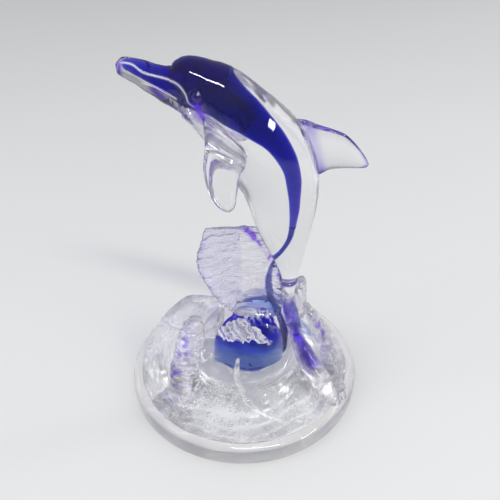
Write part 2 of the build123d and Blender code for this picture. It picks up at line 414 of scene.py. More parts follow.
def make_foot():
    """A pressed disc with a rounded rim; its top carries the marks of flowing glass."""
    rim = 4.2
    lower_edge = 1.4
    around = 256
    profile = [(radius, 0.0) for radius in np.linspace(2.0, FOOT_RADIUS - lower_edge, 24)]
    for angle in np.linspace(-90, 0, 8)[1:]:
        turn = math.radians(angle)
        profile.append((FOOT_RADIUS - lower_edge + lower_edge * math.cos(turn),
                        lower_edge + lower_edge * math.sin(turn)))
    for angle in np.linspace(0, 90, 16):
        turn = math.radians(angle)
        profile.append((FOOT_RADIUS - rim + rim * math.cos(turn),
                        FOOT_TOP - rim + rim * math.sin(turn)))
    profile += [(radius, FOOT_TOP) for radius in np.linspace(FOOT_RADIUS - rim, 1.0, 90)[1:]]
    angles = turns(around)
    rings = [
        np.stack([radius * np.cos(angles), radius * np.sin(angles), np.full(around, height)], 1)
        for radius, height in profile
    ]
    foot = skin("foot", np.array(rings))

    def flow(points, normals):
        radius = from_axis(points)
        angle = np.arctan2(points[:, 1], points[:, 0])
        on_top = (points[:, 2] > FOOT_TOP - 0.2) * np.clip((FOOT_RADIUS - 4.5 - radius) / 4.0, 0, 1)
        swirl = np.sin(radius * 0.75 + angle + 2.6 * cloudy(points, 24.0, 3.0))
        fine = np.sin(radius * 1.9 - 2.0 * angle + 3.0 * cloudy(points, 14.0, 8.0))
        return on_top * (0.28 * swirl + 0.1 * fine)

    # Partly frost and flow marks, partly painted light: the underside and the shoulder are whitened so
    # that the foot reads bright where grey shade and dark internal reflection would show through it.
    def haze(points):
        underside = (points[:, 2] < 0.3) * (0.6 + 0.15 * cloudy(points, 14.0, 6.0))
        outside = np.clip((from_axis(points) - 47.0) / 2.0, 0, 1)
        shoulder = outside * np.clip((points[:, 2] - FOOT_TOP + 1.8) / 1.4, 0, 1)
        return underside + shoulder * np.clip(0.08 + 0.6 * streaks(points) ** 3, 0, 0.7)

    push(foot, flow)
    paint(foot, "frost_and_painted_light", haze)
    return foot


# ---- the dolphin -----------------------------------------------------------

# x, z, half depth in the spine's plane, half width across it
BODY_STATIONS = [
    (-42.7, 158.6, 0.6, 0.6),
    (-42.2, 158.45, 1.95, 2.0),
    (-41.0, 158.0, 3.1, 3.0),
    (-38.0, 156.9, 3.95, 3.8),
    (-34.0, 155.3, 4.7, 4.5),
    (-30.5, 153.3, 5.4, 5.0),
    (-27.0, 151.7, 6.2, 5.7),
    (-24.5, 150.8, 7.4, 6.6),
    (-22.0, 150.5, 9.1, 8.0),
    (-19.5, 150.3, 10.5, 9.0),
    (-16.5, 149.8, 11.1, 10.1),
    (-13.0, 147.9, 12.3, 11.2),
    (-9.0, 145.4, 13.4, 11.9),
    (-5.5, 142.4, 14.2, 12.6),
    (-1.4, 137.9, 14.9, 13.1),
    (4.0, 132.0, 16.0, 14.0),
    (8.5, 126.3, 16.9, 14.7),
    (11.5, 121.5, 17.2, 15.0),
    (14.0, 116.5, 16.8, 14.8),
    (16.0, 110.5, 16.0, 14.2),
    (17.1, 104.5, 15.0, 13.3),
    (17.8, 98.0, 13.8, 12.3),
    (18.2, 90.0, 12.1, 10.8),
    (18.8, 84.0, 10.5, 9.4),
    (19.5, 77.5, 8.5, 7.7),
    (20.2, 71.0, 6.5, 6.0),
    (20.4, 65.5, 4.9, 4.7),
    (20.5, 60.5, 3.8, 3.9),
    (20.5, 57.8, 3.4, 3.6),
]

# x, z, half depth, half width of the cobalt core
CORE_STATIONS = [
    (-40.3, 158.9, 0.3, 0.4),
    (-39.6, 158.6, 1.1, 1.3),
    (-37.2, 157.7, 1.7, 2.0),
    (-33.6, 156.2, 2.1, 2.6),
    (-29.3, 154.1, 2.7, 3.2),
    (-25.9, 152.7, 3.2, 3.8),
    (-22.0, 152.2, 4.5, 4.8),
    (-19.6, 151.9, 5.6, 5.8),
    (-17.1, 151.1, 6.3, 6.6),
    (-13.6, 150.0, 6.8, 7.2),
    (-10.4, 148.6, 6.8, 7.6),
    (-7.5, 146.9, 6.5, 7.6),
    (-5.4, 144.9, 5.8, 7.2),
    (-2.5, 142.0, 5.4, 6.8),
    (0.5, 139.3, 5.1, 6.4),
    (4.7, 135.6, 4.5, 5.8),
    (8.0, 132.4, 4.0, 5.2),
    (11.0, 129.4, 3.4, 4.6),
    (14.2, 125.1, 3.0, 4.1),
    (16.4, 121.3, 2.7, 3.7),
    (18.4, 116.3, 2.4, 3.3),
    (19.5, 111.0, 2.2, 3.0),
    (20.1, 105.5, 1.7, 2.6),
    (20.5, 98.5, 1.3, 2.2),
    (20.3, 91.0, 1.0, 1.8),
]

# Lines on the head, as x and z
MOUTH = [(-41.5, 160.0), (-39.6, 160.1), (-36.2, 159.4), (-33.1, 157.2), (-29.2, 155.9),
         (-25.1, 155.0), (-20.5, 154.0), (-18.0, 151.2), (-16.7, 147.7), (-13.9, 146.5)]
JAW = [(-33.0, 153.2), (-29.7, 152.2), (-25.4, 150.3), (-21.3, 148.6)]
EYE = (-14.0, 150.3)
EYE_RADIUS = 1.2
MOUTH_LINE = along(MOUTH, 40)
JAW_LINE = along(JAW, 16)
THROAT = [(-13.7, 147.0), (-13.3, 145.0), (-12.2, 142.8)]
CHIN = [(-29.9, 150.9), (-27.4, 148.4), (-24.9, 146.0), (-21.5, 143.4), (-18.3, 141.2)]

# The line along which the dorsal fin meets the back
FIN_ROOT = [(25.0, 0, 137.0), (27.6, 0, 130.0), (30.2, 0, 121.0), (32.6, 0, 112.0), (33.0, 0, 104.0)]
FIN_ROOT_LINE = [(x, z) for x, _, z in FIN_ROOT]


def spine_tube(name, stations, steps, around):
    """A tube whose spine lies in the dolphin's plane; behind the head its sizes are evened out."""
    rows = along([(x, 0.0, z, depth, width) for x, z, depth, width in stations], 121)
    window = np.hanning(15)[1:-1]
    padded = np.pad(rows, ((6, 6), (0, 0)), mode="edge")
    window /= window.sum()
    even = np.stack([np.convolve(column, window, mode="valid") for column in padded.T], 1)
    past_head = np.clip((rows[:, 0] + 9.0) / 8.0, 0, 1)
    before_end = np.clip((rows[:, 2] - rows[-1, 2]) / 16.0, 0, 1)
    share = (past_head * before_end)[:, None]
    return tube(name, rows * (1 - share) + even * share, steps, around)


def make_body():
    """The clear casing, with a mouth line, a jaw line and a domed eye on each side."""
    body = spine_tube("dolphin_body", BODY_STATIONS, 480, 176)

    def relief(points, normals):
        plane = points[:, [0, 2]]
        flank = np.clip((np.abs(normals[:, 1]) - 0.2) / 0.3, 0, 1)
        lip = 0.22 * near(distance_to_path(plane, MOUTH_LINE), 0.6) * flank
        jaw = 0.2 * near(distance_to_path(plane, JAW_LINE), 0.5) * flank
        from_eye = np.linalg.norm(plane - np.array(EYE), axis=1)
        socket = -0.3 * near(from_eye - EYE_RADIUS - 0.9, 0.6) * flank
        dome = 0.8 * near(from_eye, EYE_RADIUS) * flank
        return lip + jaw + socket + dome + 0.03 * cloudy(points, 24.0, 1.0)

    push(body, relief)
    seam = [(4.0, 89.0), (8.9, 77.6), (13.6, 71.1), (16.3, 64.0)]

    def violet(points):
        plane = points[:, [0, 2]]
        ring = near(np.linalg.norm(plane - np.array(EYE), axis=1), 2.4)
        side = np.clip(np.abs(points[:, 1]) / 5.0 - 0.8, 0, 1)
        tip = np.clip((-39.6 - points[:, 0]) / 1.4, 0, 1)
        throat = near(distance_to_path(plane, THROAT), 3.0)
        chin = near(distance_to_path(plane, CHIN), 1.3)
        return ((ring + throat) * side + 0.9 * tip + chin
                + 0.8 * near(distance_to_path(plane, seam), 0.7)
                + near(distance_to_path(plane, FIN_ROOT_LINE), 1.1))

    # Painted highlight: the whitened mouth line, jaw line and crescent on the eye's upper side stand in
    # for glints of light on these ridges; the throat and the lines beside the dorsal fin are whitened as
    # well.
    def frost_and_painted_light(points):
        plane = points[:, [0, 2]]
        side = np.clip(np.abs(points[:, 1]) / 2.0 - 0.4, 0, 1)
        far = np.linalg.norm(plane - np.array(EYE), axis=1)
        lid = 0.3 * near(far - EYE_RADIUS, 0.3) * (plane[:, 0] + plane[:, 1] < sum(EYE) + 0.8)
        mouth = near(distance_to_path(plane, MOUTH_LINE), 0.3)
        jaw = 0.7 * near(distance_to_path(plane, JAW_LINE), 0.25)
        throat = 0.8 * near(distance_to_path(plane, THROAT), 1.6)
        root = distance_to_path(plane, FIN_ROOT_LINE)
        beside_fin = 0.7 * near(root - 1.3, 0.35) + 0.5 * near(root, 0.3)
        return np.clip((mouth + jaw + throat + lid) * side + beside_fin, 0, 1)

    paint(body, "frost_and_painted_light", frost_and_painted_light)
    paint(body, "violet", violet)
    return body


def make_core():
    """The cobalt core; over the head a thin crest of it ends bluntly behind the melon."""
    core = spine_tube("dolphin_core", CORE_STATIONS, 300, 96)

    def crest(points, normals):
        stations, heights = [-25.0, -22.0, -19.6, -13.6, -4.6, -3.4], [0, 1.4, 2.0, 2.6, 2.4, 0]
        height = np.interp(points[:, 0], stations, heights)
        upward = np.clip(normals[:, 0] * 0.5 + normals[:, 2] * 0.87, 0, 1)
        return height * upward**4 + 0.12 * cloudy(points, 8.0, 5.0)

    def over_head(points):
        high = np.clip((points[:, 2] - 142.0) / 12.0, 0, 1)
        return high * np.clip((points[:, 0] + 31.0) / 5.0, 0, 1)

    push(core, crest)
    # Painted light: over the head the core is drawn fully to violet and whitened, standing in for the
    # lighter band that light bent through the top of the head shows; elsewhere it is half violet.
    paint(core, "violet", lambda points: 0.5 + 0.5 * over_head(points))
    paint(core, "frost_and_painted_light", lambda points: 0.7 * over_head(points))
    return core


def make_ribbon():
    """The thread of cobalt from the core, out of the belly, down into the heart."""
    return tube("core_ribbon", [
        (20.3, 0.0, 91.2, 0.9, 1.7),
        (19.7, 0.0, 85.7, 0.8, 1.6),
        (18.1, 0.0, 79.5, 0.7, 1.5),
        (15.6, 0.0, 73.0, 0.7, 1.4),
        (13.1, -0.8, 68.8, 0.9, 1.4),
        (11.7, -1.8, 64.5, 1.2, 1.4),
        (11.4, -2.6, 58.5, 1.6, 1.3),
        (12.0, -3.2, 53.4, 1.6, 1.3),
        (13.4, -3.6, 47.4, 1.5, 1.5),
        (14.6, -3.8, 40.5, 1.2, 2.0),
        (15.0, -4.0, 34.0, 1.2, 3.0),
        (14.6, -4.4, 27.0, 1.2, 3.6),
        (13.6, -4.6, 21.0, 0.8, 1.8),
    ], 180, 32)


def make_dorsal():
    """The back fin: clear, with violet painted along its root, and along its free edge as a painted
    reflection of the core's light.
    """
    fin = blade(
        "dorsal_fin",
        [(21.0, 0, 136.5), (24.5, 0, 136.2), (31.0, 0, 133.7), (36.0, 0, 131.9), (40.7, 0, 129.8),
         (43.8, 0, 127.0), (46.9, 0, 123.3), (49.6, 0, 119.3), (50.9, 0, 116.7)],
        [(29.0, 0, 111.0), (33.0, 0, 113.0), (35.5, 0, 114.4), (39.0, 0, 114.9), (43.0, 0, 115.0),
         (46.0, 0, 114.9), (48.6, 0, 114.9), (50.2, 0, 115.3), (50.8, 0, 116.2)],
        [3.0, 2.6, 2.2, 1.9, 1.6, 1.3, 1.0, 0.7, 0.3])
    upper = [(31, 0, 133.9), (36, 0, 132.1), (40.7, 0, 130.0), (43.9, 0, 127.2), (47.1, 0, 123.4),
             (51, 0, 116.4), (48.0, 0, 114.6)]
    # Painted reflection: the violet band along the free edge stands in for the core's light carried to
    # the edge inside the glass.
    edge, root = band(upper, 0.9, 0.8), band(FIN_ROOT, 2.2)
    paint(fin, "violet", lambda points: edge(points) + root(points))
    return fin


def make_pectoral():
    """The near side fin: it stands out from the flank, turns down at a crease and hangs."""
    leading = [(-12.6, -9.5, 143.0), (-12.2, -12.0, 141.6), (-11.6, -17.0, 138.8), (-11.4, -20.0, 136.4),
               (-11.8, -21.4, 133.0), (-12.3, -22.0, 129.6), (-12.0, -22.6, 124.6), (-11.0, -23.4, 119.8),
               (-9.4, -24.2, 115.8), (-7.2, -24.8, 113.2), (-5.0, -25.0, 111.8)]
    trailing = [(3.6, -9.0, 126.6), (3.2, -12.5, 126.2), (2.9, -17.0, 127.0), (2.0, -20.4, 126.4),
                (1.0, -21.2, 125.4), (0.4, -21.8, 123.6), (-0.1, -22.4, 120.6), (-0.6, -23.2, 117.4),
                (-1.2, -24.0, 114.2), (-2.0, -24.6, 112.6), (-3.4, -25.0, 111.6)]
    fin = blade("pectoral_fin_left", leading, trailing,
                [2.6, 2.6, 2.6, 2.7, 2.6, 2.4, 2.2, 2.0, 1.6, 1.1, 0.4], steps=120)
    crease = [(-11.2, -20.2, 137.0), (-4.0, -20.8, 133.0), (2.4, -20.8, 127.0)]
    above = [(-8.0, -18.0, 137.0), (-3.0, -18.5, 133.5), (2.0, -18.5, 129.0)]
    # Painted light: the fin above the crease is whitened to lift the dark band that internal reflection
    # throws there.
    paint(fin, "frost_and_painted_light", band(above, 3.5, 0.45))
    # Painted reflection: violet along the crease and the lower edges stands in for the core's light bent
    # and reflected in the fin.
    lines = [band(crease, 0.5, 0.6), band(leading[4:], 0.7, 0.7), band(trailing[2:5], 0.7, 0.6)]
    paint(fin, "violet", lambda points: sum(line(points) for line in lines))
    return fin


def make_stock():
    """The clear neck between the body's tail end and the wave."""
    stock = stack("tail_stock", [
        (20.5, 0.0, 59.2, 4.0, 4.2, 0),
        (20.5, 0.0, 58.0, 4.1, 4.3, 0),
        (20.4, 0.0, 53.0, 3.2, 3.8, 0),
        (21.0, 0.0, 46.0, 3.2, 4.8, 0),
        (22.2, 0.0, 40.0, 3.6, 6.0, 0),
        (23.6, 0.0, 34.0, 3.8, 6.8, 0),
    ], 60, 64)
    front = band([(17.6, -2, 58), (17.6, -2, 50)], 1.0, 0.7)
    paint(stock, "violet", lambda points: near(points[:, 2] - 58.6, 0.8) + front(points))
    paint(stock, "azure", band([(23.0, -3.0, 48.0), (24.5, -4.0, 41.0), (26.5, -5.0, 34.0)], 2.2, 0.9))
    return stock


def make_fluke():
    """A tail fluke dips out of the stock, down into the wave."""
    return blade(
        "tail_fluke_left",
        [(18.4, -2.0, 48.0), (18.6, -4.6, 38.0), (20.6, -7.8, 29.0), (24.2, -11.0, 20.5),
         (29.2, -13.2, 14.0), (34.4, -13.0, 10.4)],
        [(23.2, -0.5, 48.5), (24.6, -1.8, 39.0), (27.4, -3.8, 31.0), (30.8, -6.6, 23.5),
         (34.4, -9.6, 16.5), (37.4, -12.2, 10.8)],
        [2.4, 2.8, 2.8, 2.4, 1.7, 0.5], power=1.6)


# ---- the wave --------------------------------------------------------------

# Spots of hammered haze on the front of the swell, and the line of white strands over its heart
HAMMERED = [(-16.0, -28.0, 16.0), (-6.0, -36.0, 12.0), (17.0, -29.0, 15.0)]
MOUND_LIP = [(-3.0, -11.5, 47.0), (3.0, -11.0, 48.5), (9.0, -9.0, 47.5), (13.5, -9.5, 42.0)]


def from_spot(points, spot):
    """Each point's distance from a spot."""
    return np.linalg.norm(points - np.array(spot), axis=1)


def make_mound():
    """The clear swell that cases the heart and runs out over the foot."""
    mound = stack("wave_mound", [
        (0.0, 0.0, FOOT_TOP - SUNK, 49.4, 49.4, 0),
        (0.0, 0.0, FOOT_TOP + 0.1, 49.0, 49.0, 0),
        (0.6, -0.6, FOOT_TOP + 0.6, 45.5, 45.0, 0),
        (2.2, -2.2, 10.8, 39.5, 38.0, 0),
        (2.8, -3.0, 13.2, 34.5, 33.0, 0),
        (2.0, -3.4, 18.0, 29.4, 27.6, 0),
        (0.4, -3.6, 27.0, 24.0, 22.5, 0),
        (2.0, -3.2, 36.0, 18.8, 18.0, 0),
        (5.2, -2.6, 44.0, 12.8, 12.0, 0),
        (7.2, -2.2, 49.0, 8.0, 7.0, 0),
        (7.6, -2.0, 51.0, 3.6, 3.0, 0),
    ], 190, 300)
    wrinkle = shell_ripples(((-6.0, -18.0, 26.0), 3.6, 5.0), 1.0)

    def swell(points, normals):
        rising = np.clip((points[:, 2] - 9.6) / 6.0, 0, 1)
        radius = from_axis(points)
        outward = round_swell(points)
        gullies = np.sin(8.0 * outward + 2.0 * cloudy(points, 16.0, 21.0))
        gullies *= np.clip(1.5 - points[:, 2] / 22, 0, 1)
        lumps = 0.6 * cloudy(points, 14.0, 2.0) + 0.15 * cloudy(points, 5.0, 7.0)
        front = near(from_spot(points, (13.0, -33.0, 14.0)), 8.0)
        skirt = np.clip((47.5 - radius) / 4.0, 0, 1) * (points[:, 2] > FOOT_TOP - 0.3) * (1 - rising)
        eddies = np.sin(radius * 0.9 + outward + 2.6 * cloudy(points, 18.0, 3.0))
        return (rising * (lumps + 0.4 * gullies) + 0.3 * front * wrinkle(points, normals)
                + 0.16 * skirt * eddies)

    push(mound, swell)

    def flow(points):
        low = np.clip((15.0 - points[:, 2]) / 4.0, 0, 1) * (points[:, 2] > FOOT_TOP - 0.3)
        lip = near(distance_to_path(points, MOUND_LIP), 3.2)
        strands = np.clip(2.5 * cloudy(points * (1.0, 1.0, 0.35), 1.3, 6.0) + 0.2, 0, 0.8)
        haze = sum(near(from_spot(points, spot), 12.0) for spot in HAMMERED)
        veil = low * np.clip(0.32 + 0.5 * streaks(points) ** 3 + 0.2 * cloudy(points, 6.0, 8.0), 0, 0.8)
        return np.clip(veil + haze * (0.4 + 0.4 * cloudy(points, 0.9, 4.0)) + lip * strands, 0, 0.9)

    paint(mound, "frost_and_painted_light", flow)
    paint(mound, "violet", band([(20.5, -2.0, 38.0), (23.0, -1.0, 33.0), (25.0, -1.0, 28.0)], 2.0, 0.9))
    paint(mound, "azure", band([(25.5, -2.0, 27.0), (28.0, -3.0, 22.0), (30.0, -5.0, 16.0)], 3.0, 0.6))
    return mound


def make_heart():
    """The gather of cobalt: deep above, drawn thin below."""
    heart_low, heart_high = (np.array(corner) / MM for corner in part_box("wave_heart"))
    center, half = (heart_low + heart_high) / 2, (heart_high - heart_low) / 2
    middle_x, half_length = center[0] - 1.6, 15.0
    tilt = np.linspace(-math.pi / 2, math.pi / 2, 82)[1:-1]
    angles = turns(128)
    rings = []
    for slope in tilt:
        flat, rise = math.cos(slope), math.sin(slope)
        thick = np.interp(rise, [-1.0, -0.5, 0.0, 0.4, 0.75, 1.0], [1.0, 1.1, 1.8, 6.5, 5.5, 2.5])
        depth = center[1] - half[1] * flat + thick
        length = half_length * (flat**0.8 if rise > 0 else flat**1.7)
        x = middle_x + length * np.cos(angles)
        lobe = 7.0 * near(x - 10.5, 4.5) * max(rise, 0.0) ** 2
        smile = 12.0 * ((x - middle_x) / half_length) ** 2 * max(-rise, 0.0)
        height = center[2] + (0.9 if rise < 0 else 1.0) * half[2] * rise + 0.5
        rings.append(np.stack([x, depth + thick * np.sin(angles), height + lobe + smile], 1))
    heart = skin("wave_heart", np.array(rings))

    def lumps(points, normals):
        return 0.2 * cloudy(points, 7.0, 4.0) + 0.5 * cloudy(points, 3.5, 14.0)

    push(heart, lumps)
    paint(heart, "violet", lambda points: (points[:, 2] - 29.0) / 8.0 + 0.3 * cloudy(points, 4.0, 2.0))
    return heart


def shell_ripples(rings, depth):
    """Growth rings of a given depth, uneven and broken as on chilled glass, for push."""
    seed = rings[2]

    def amount(points, normals):
        crests = rings_on(points, rings) - 0.3
        return depth * crests + 0.15 * depth * cloudy(points, 1.3, seed + 3)
    return amount


def rings_on(points, rings):
    """1 on the crest of each growth ring and nothing in between; rings is (middle, spacing, seed).

    The rings wander and break off."""
    middle, spacing, seed = rings
    away = from_spot(points, middle)
    wander = 0.5 * cloudy(points, 9.0, seed) + 0.2 * cloudy(points, 3.5, seed + 2)
    ring = 1.0 - np.abs(np.sin(math.pi * (away / spacing + wander)))
    return ring**2 * np.clip(0.6 + 1.5 * cloudy(points, 5.0, seed + 1.0), 0.1, 1.2)


def make_tall_crest():
    """A scallop-shaped sheet, frosted on its free side and clear beside the dolphin."""
    crest = blade(
        "wave_tall_crest",
        [(-6.1, -6.5, 47.9), (-9.2, -6.2, 50.8), (-12.7, -5.8, 55.3), (-15.1, -5.2, 60.3),
         (-17.1, -4.6, 64.4), (-18.6, -4.0, 68.0), (-19.1, -3.5, 71.5), (-18.7, -2.8, 75.6),
         (-17.6, -2.2, 79.2), (-16.4, -1.6, 82.6), (-15.8, -1.2, 85.6), (-14.6, -1.0, 87.8)],
        [(17.4, -3.0, 43.5), (18.2, -3.0, 49.0), (18.4, -2.6, 54.0), (18.2, -2.2, 59.0),
         (17.6, -1.8, 64.0), (16.6, -1.5, 68.5), (15.0, -1.2, 73.0), (13.2, -1.0, 77.0),
         (11.2, -0.9, 81.0), (9.0, -0.8, 84.6), (6.6, -0.7, 88.0)],
        [6.0, 5.4, 4.8, 4.2, 3.8, 3.4, 3.0, 2.6, 2.1, 1.6, 0.9], steps=240, around=260, power=2.2)
    middle = (-1.0, -6.0, 40.0)
    wide_rings, fine_rings = (middle, 4.5, 1.0), (middle, 1.3, 3.0)
    fold = np.array([(-1.0, 57.0), (-3.5, 72.0), (1.5, 86.0)])

    def chilled_side(points):
        edge = np.interp(points[:, 2], fold[:, 1], fold[:, 0])
        return np.clip((edge - points[:, 0]) / 5.0 + 0.5, 0, 1)

    def ripples(points, normals):
        chilled_here = chilled_side(points)
        sheet = (0.15 + 0.15 * chilled_here) * rings_on(points, wide_rings)
        fine = 0.06 * chilled_here * rings_on(points, fine_rings)
        hammered = 0.06 * cloudy(points, 1.1, 5.0) + 0.12 * cloudy(points, 3.0, 8.0)
        hinge = 0.3 * near(chilled_here - 0.5, 0.25)
        return sheet + fine + hammered + hinge

    push(crest, ripples)

    def frost_and_painted_light(points):
        chilled_here = chilled_side(points)
        grain = 0.6 * rings_on(points, fine_rings) + 0.5 * rings_on(points, wide_rings)
        return (0.25 + 0.75 * chilled_here) * (0.3 + grain + 0.25 * cloudy(points, 6.0, 3.0))

    paint(crest, "frost_and_painted_light", frost_and_painted_light)
    contact = [(3.0, -2, 87.6), (7.0, -2, 82), (10.0, -2.5, 76.6), (14.0, -3, 70.5), (16.5, -3.5, 62)]
    rim = [(-16.4, -1.6, 83), (-19, -3, 73), (-18.6, -4, 68), (-12.7, -5.8, 55)]
    corner = [(1.5, -1, 88), (4.0, -1.5, 85.5), (5.5, -1.5, 83)]

    def violet(points):
        beside_dolphin = specks(contact, 1.3, 17.0)(points) + band(contact, 1.0, 0.35)(points)
        on_rim = 0.5 * specks(rim, 2.0, 6.0)(points)
        return beside_dolphin + band(corner, 1.5)(points) + on_rim + 0.12 * (points[:, 0] < 0)

    paint(crest, "violet", violet)
    paint(crest, "azure", band([(3, -7, 53), (8, -7, 53.5), (12, -7, 51), (14.5, -7, 45)], 4.0))
    return crest


def make_left_crest():
    """The lump that stands out to the left."""
    crest = blade(
        "wave_left_crest",
        [(-8.0, -1.0, 48.0), (-14.0, -1.0, 49.6), (-19.0, -1.0, 50.6), (-24.5, -1.0, 50.6),
         (-29.0, -1.0, 47.5), (-33.0, -1.0, 43.4), (-37.4, -1.0, 38.2)],
        [(-8.0, -1.0, 24.0), (-14.0, -1.0, 25.0), (-20.0, -1.0, 27.0), (-26.0, -1.0, 29.5),
         (-31.0, -1.0, 31.5), (-35.0, -1.0, 34.0), (-38.0, -1.0, 36.6)],
        [7.0, 7.0, 6.2, 5.2, 4.4, 3.0, 0.8], steps=110, around=110, power=2.0)
    push(crest, shell_ripples(((-8.0, -8.0, 30.0), 6.0, 6.0), 0.3))
    paint(crest, "frost_and_painted_light", lambda points: 0.4 + 0.5 * cloudy(points, 8.0, 2.0))
    paint(crest, "violet", specks([(-36, -5, 37), (-30, -6, 32), (-22, -7, 30)], 2.5, 4.0))
    return crest


def make_left_ridge():
    """The rippled ridge down the left front."""
    ridge = stack("wave_left_ridge", [
        (-25.6, -25.0, FOOT_TOP - SUNK, 12.5, 14.0, -20),
        (-25.6, -24.6, FOOT_TOP + 0.6, 11.4, 13.0, -20),
        (-26.2, -22.6, 11.5, 9.0, 10.2, -20),
        (-26.6, -20.8, 15.0, 7.6, 8.4, -20),
        (-26.4, -16.0, 22.0, 6.6, 7.4, -20),
        (-24.6, -12.2, 30.0, 6.0, 6.6, -20),
        (-22.6, -9.5, 38.0, 5.0, 5.6, -20),
        (-21.8, -8.0, 43.5, 2.6, 3.2, -20),
    ], 180, 140)
    rings = ((-22.0, -14.0, 66.0), 3.0, 2.0)

    def frost_and_painted_light(points):
        return np.clip(0.1 + 0.7 * rings_on(points, rings) + 0.2 * cloudy(points, 6.0, 9.0), 0, 0.9)

    push(ridge, shell_ripples(rings, 0.9))
    paint(ridge, "frost_and_painted_light", frost_and_painted_light)
    flecks = [(-28, -14, 40), (-27, -18, 33), (-31, -20, 24), (-33, -24, 14)]
    paint(ridge, "violet", specks(flecks, 4.5, 8.0))
    return ridge


def make_front_curl():
    """The breaking lip in front of the heart."""
    curl = blade(
        "wave_front_curl",
        [(-12.2, -16.5, 43.6), (-8.4, -16.8, 47.0), (-4.4, -17.0, 50.0), (0.3, -17.0, 50.4),
         (4.3, -17.0, 47.2), (8.6, -17.0, 43.0), (12.8, -16.0, 36.8)],
        [(-11.6, -17.6, 42.0), (-7.8, -18.4, 40.8), (-4.3, -18.6, 39.8), (-0.8, -18.6, 38.8),
         (3.2, -18.6, 39.6), (7.5, -18.4, 38.4), (12.2, -17.0, 35.4)],
        [0.6, 1.6, 2.2, 2.4, 2.2, 1.8, 0.5], steps=150, around=120, power=2.0)

    def strands(points):
        across = 0.9 * points[:, 0] + 0.5 * points[:, 2]
        return 1.0 - np.abs(np.sin(across + 2.2 * cloudy(points, 3.0, 9.0)))

    def ragged(points, normals):
        return 1.1 * strands(points) + 0.5 * cloudy(points, 1.6, 3.0) - 0.6

    def frost_and_painted_light(points):
        return np.clip(2.2 * strands(points) - 0.45 + 0.4 * cloudy(points, 2.0, 1.0), 0.02, 1)

    push(curl, ragged)
    paint(curl, "frost_and_painted_light", frost_and_painted_light)
    return curl


def make_front_rib():
    """The thin trail of glass down the front."""
    rib = tube("wave_front_rib", [
        (-2.3, -22.7, 33.0, 0.7, 0.7),
        (-2.9, -26.4, 27.5, 1.3, 1.2),
        (-1.6, -29.4, 22.1, 1.5, 1.3),
        (1.8, -33.0, 16.2, 1.5, 1.3),
        (7.8, -36.3, 12.2, 1.3, 1.2),
        (15.8, -39.2, 10.4, 1.1, 1.1),
        (26.0, -38.9, 9.5, 0.6, 0.6),
    ], 140, 40, side=UPWARDS)
    paint(rib, "frost_and_painted_light", lambda points: np.clip(0.3 + 0.7 * cloudy(points, 2.5, 6.0), 0, 0.8))
    return rib


def make_right_fold():
    """The smooth fold to the right of the tail."""
    fold = stack("wave_right_fold", [
        (31.6, -15.5, FOOT_TOP - SUNK, 17.5, 7.0, -49),
        (30.6, -13.6, 14.0, 14.0, 6.2, -49),
        (28.4, -10.8, 20.0, 10.0, 5.2, -49),
        (25.2, -7.4, 27.0, 6.4, 4.0, -49),
        (22.6, -5.0, 33.0, 3.2, 2.2, -49),
    ], 100, 120)
    push(fold, lambda points, normals: 0.4 * cloudy(points, 6.0, 12.0))
    wedge = [(22.5, -6.5, 33.5), (24.2, -9.5, 32.0), (26.2, -13.0, 29.5), (28.6, -14.7, 26.0),
             (31.0, -16.0, 22.5)]
    paint(fold, "violet", band(wedge, 1.7))
    return fold


def make_right_crest():
    """The rippled crest on the right."""
    crest = stack("wave_right_crest", [
        (40.6, -8.5, FOOT_TOP - SUNK, 18.5, 4.8, -74),
        (40.0, -6.0, 14.0, 15.5, 4.4, -74),
        (38.6, -3.4, 20.0, 12.0, 4.0, -74),
        (35.8, 0.0, 28.0, 8.5, 3.6, -74),
        (32.8, 2.2, 35.0, 6.0, 3.0, -74),
        (29.8, 3.6, 40.5, 3.2, 1.6, -74),
    ], 170, 170)
    rings = ((32.0, -4.0, 40.0), 3.0, 4.0)

    def frost_and_painted_light(points):
        return np.clip(0.6 * rings_on(points, rings) + 0.2 * cloudy(points, 6.0, 5.0), 0, 0.9)

    push(crest, shell_ripples(rings, 0.8))
    paint(crest, "frost_and_painted_light", frost_and_painted_light)
    flecks = [(34.0, -4, 39.0), (36.6, -5, 31.4), (38.6, -8, 21.7), (40, -12, 12.0)]
    paint(crest, "violet", specks(flecks, 3.6, 15.0))
    return crest


def make_back_crest():
    """The small crest behind the tail."""
    crest = stack("wave_back_crest", [
        (23.0, 12.0, 26.0, 9.0, 5.0, 35),
        (23.5, 12.2, 34.0, 8.4, 4.4, 35),
        (24.5, 12.4, 41.0, 7.0, 3.6, 35),
        (26.0, 12.8, 47.0, 4.6, 2.2, 35),
        (26.4, 13.0, 49.0, 3.0, 1.0, 35),
    ], 120, 120)
    push(crest, shell_ripples(((18.0, 6.0, 36.0), 2.6, 14.0), 0.4))
    paint(crest, "frost_and_painted_light", lambda points: 0.1 + 0.2 * cloudy(points, 6.0, 5.0))
    return crest


# ---- assembly --------------------------------------------------------------

clear = clear_glass()
chilled = chilled_glass()
cobalt = cobalt_glass("cobalt_core", (0.13, 0.13, 0.82, 1.0), 820.0)
cobalt_thread = cobalt_glass("cobalt_thread", (0.1, 0.12, 0.76, 1.0), 1400.0)
cobalt_thin = cobalt_glass("cobalt_heart", (0.05, 0.32, 0.86, 1.0), 430.0)

